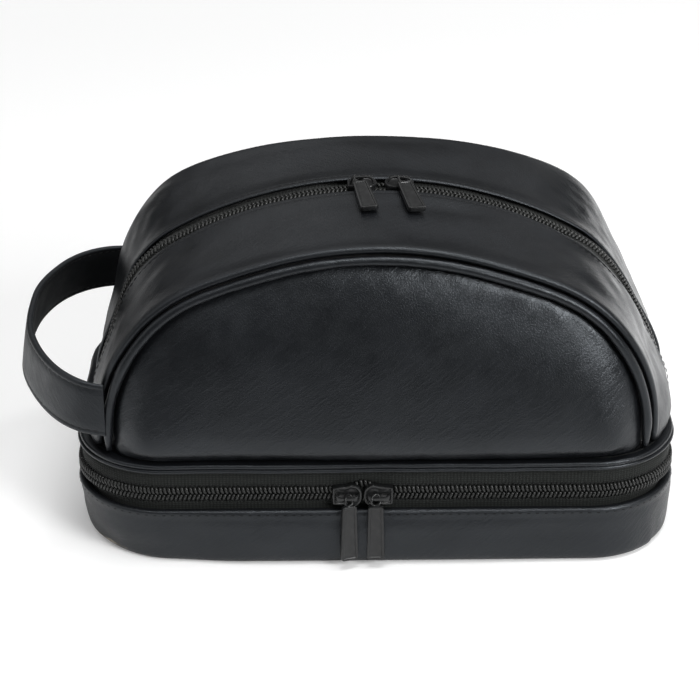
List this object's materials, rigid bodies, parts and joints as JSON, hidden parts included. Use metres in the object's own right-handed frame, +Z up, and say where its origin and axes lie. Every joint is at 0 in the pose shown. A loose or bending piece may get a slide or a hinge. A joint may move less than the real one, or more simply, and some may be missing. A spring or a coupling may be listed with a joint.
{
  "type": "two-compartment wash bag",
  "caption": "Leather wash bag: a domed upper bag with a double-ended zip over a zipped shallow tray, with a loop strap at one end.",
  "frame": {"origin": "centre of the tray's flat bottom, on the surface that the bag stands on", "axes": "+X to the right along the width as seen from the front, +Y from the front to the hinged back, +Z up"},
  "size_m": [0.2918, 0.1517, 0.155],
  "materials": {
    "leather": "black coated leather, fine grain, satin",
    "lining": "black woven lining cloth",
    "zip_tape": "black woven zip tape",
    "zip_teeth": "black moulded nylon",
    "black_metal": "black lacquered zinc, satin",
    "board": "grey stiffener board, hidden between cloth and leather"
  },
  "bodies": {
    "base": {"base_tray": "leather", "base_board": "board", "base_lining": "lining", "base_zip_tape": "zip_tape", "base_zip_teeth": "zip_teeth", "rear_hinge_strip": "leather"},
    "upper": {"lid_zip_tape": "zip_tape", "lid_zip_teeth": "zip_teeth", "rim_piping": "leather", "divider_board": "board", "divider_lower_cloth": "lining", "divider_upper_cloth": "lining", "carry_strap": "leather"},
    "front_half": {"front_panel": "leather", "front_piping": "leather", "front_gusset": "leather", "front_lining": "lining", "front_zip_tape": "zip_tape", "front_zip_teeth": "zip_teeth"},
    "rear_half": {"rear_panel": "leather", "rear_piping": "leather", "rear_gusset": "leather", "rear_lining": "lining", "rear_zip_tape": "zip_tape", "rear_zip_teeth": "zip_teeth"},
    "top_slider_left": {"top_slider_left": "black_metal"},
    "top_slider_right": {"top_slider_right": "black_metal"},
    "top_pull_left": {"top_pull_left": "black_metal"},
    "top_pull_right": {"top_pull_right": "black_metal"},
    "lower_slider_left": {"lower_slider_left": "black_metal"},
    "lower_slider_right": {"lower_slider_right": "black_metal"},
    "lower_pull_left": {"lower_pull_left": "black_metal"},
    "lower_pull_right": {"lower_pull_right": "black_metal"}
  },
  "joints": [
    {"name": "lid_hinge", "type": "hinge", "parent": "base", "child": "upper", "pos_m": [0, 0.074, 0.0335], "axis": [-1, 0, 0], "range_deg": [0, 105], "deforming": ["rear_hinge_strip"]},
    {"name": "front_mouth_hinge", "type": "hinge", "parent": "upper", "child": "front_half", "pos_m": [0, -0.0725, 0.0508], "axis": [1, 0, 0], "range_deg": [0, 30], "deforming": ["carry_strap"]},
    {"name": "rear_mouth_hinge", "type": "hinge", "parent": "upper", "child": "rear_half", "pos_m": [0, 0.0725, 0.0508], "axis": [-1, 0, 0], "range_deg": [0, 30], "deforming": ["carry_strap"]},
    {"name": "top_slider_left_run", "type": "hinge", "parent": "front_half", "child": "top_slider_left", "pos_m": [0, 0, -0.0335], "axis": [0, -1, 0], "range_deg": [0, 20]},
    {"name": "top_slider_right_run", "type": "hinge", "parent": "front_half", "child": "top_slider_right", "pos_m": [0, 0, -0.0335], "axis": [0, 1, 0], "range_deg": [0, 20]},
    {"name": "top_pull_left_lift", "type": "hinge", "parent": "top_slider_left", "child": "top_pull_left", "pos_m": [-0.0061, 0, 0.1529], "axis": [-0.9995, 0, -0.0327], "range_deg": [0, 170]},
    {"name": "top_pull_right_lift", "type": "hinge", "parent": "top_slider_right", "child": "top_pull_right", "pos_m": [0.00814, 0, 0.15282], "axis": [-0.999, 0, 0.0436], "range_deg": [0, 170]},
    {"name": "lower_slider_left_run", "type": "slide", "parent": "base", "child": "lower_slider_left", "axis": [-1, 0, 0], "range_m": [0, 0.07]},
    {"name": "lower_slider_right_run", "type": "slide", "parent": "base", "child": "lower_slider_right", "axis": [1, 0, 0], "range_m": [0, 0.084]},
    {"name": "lower_pull_left_lift", "type": "hinge", "parent": "lower_slider_left", "child": "lower_pull_left", "pos_m": [-0.014, -0.0757, 0.0335], "axis": [-1, 0, 0], "range_deg": [0, 150]},
    {"name": "lower_pull_right_lift", "type": "hinge", "parent": "lower_slider_right", "child": "lower_pull_right", "pos_m": [0, -0.0757, 0.0335], "axis": [-1, 0, 0], "range_deg": [0, 150]}
  ]
}
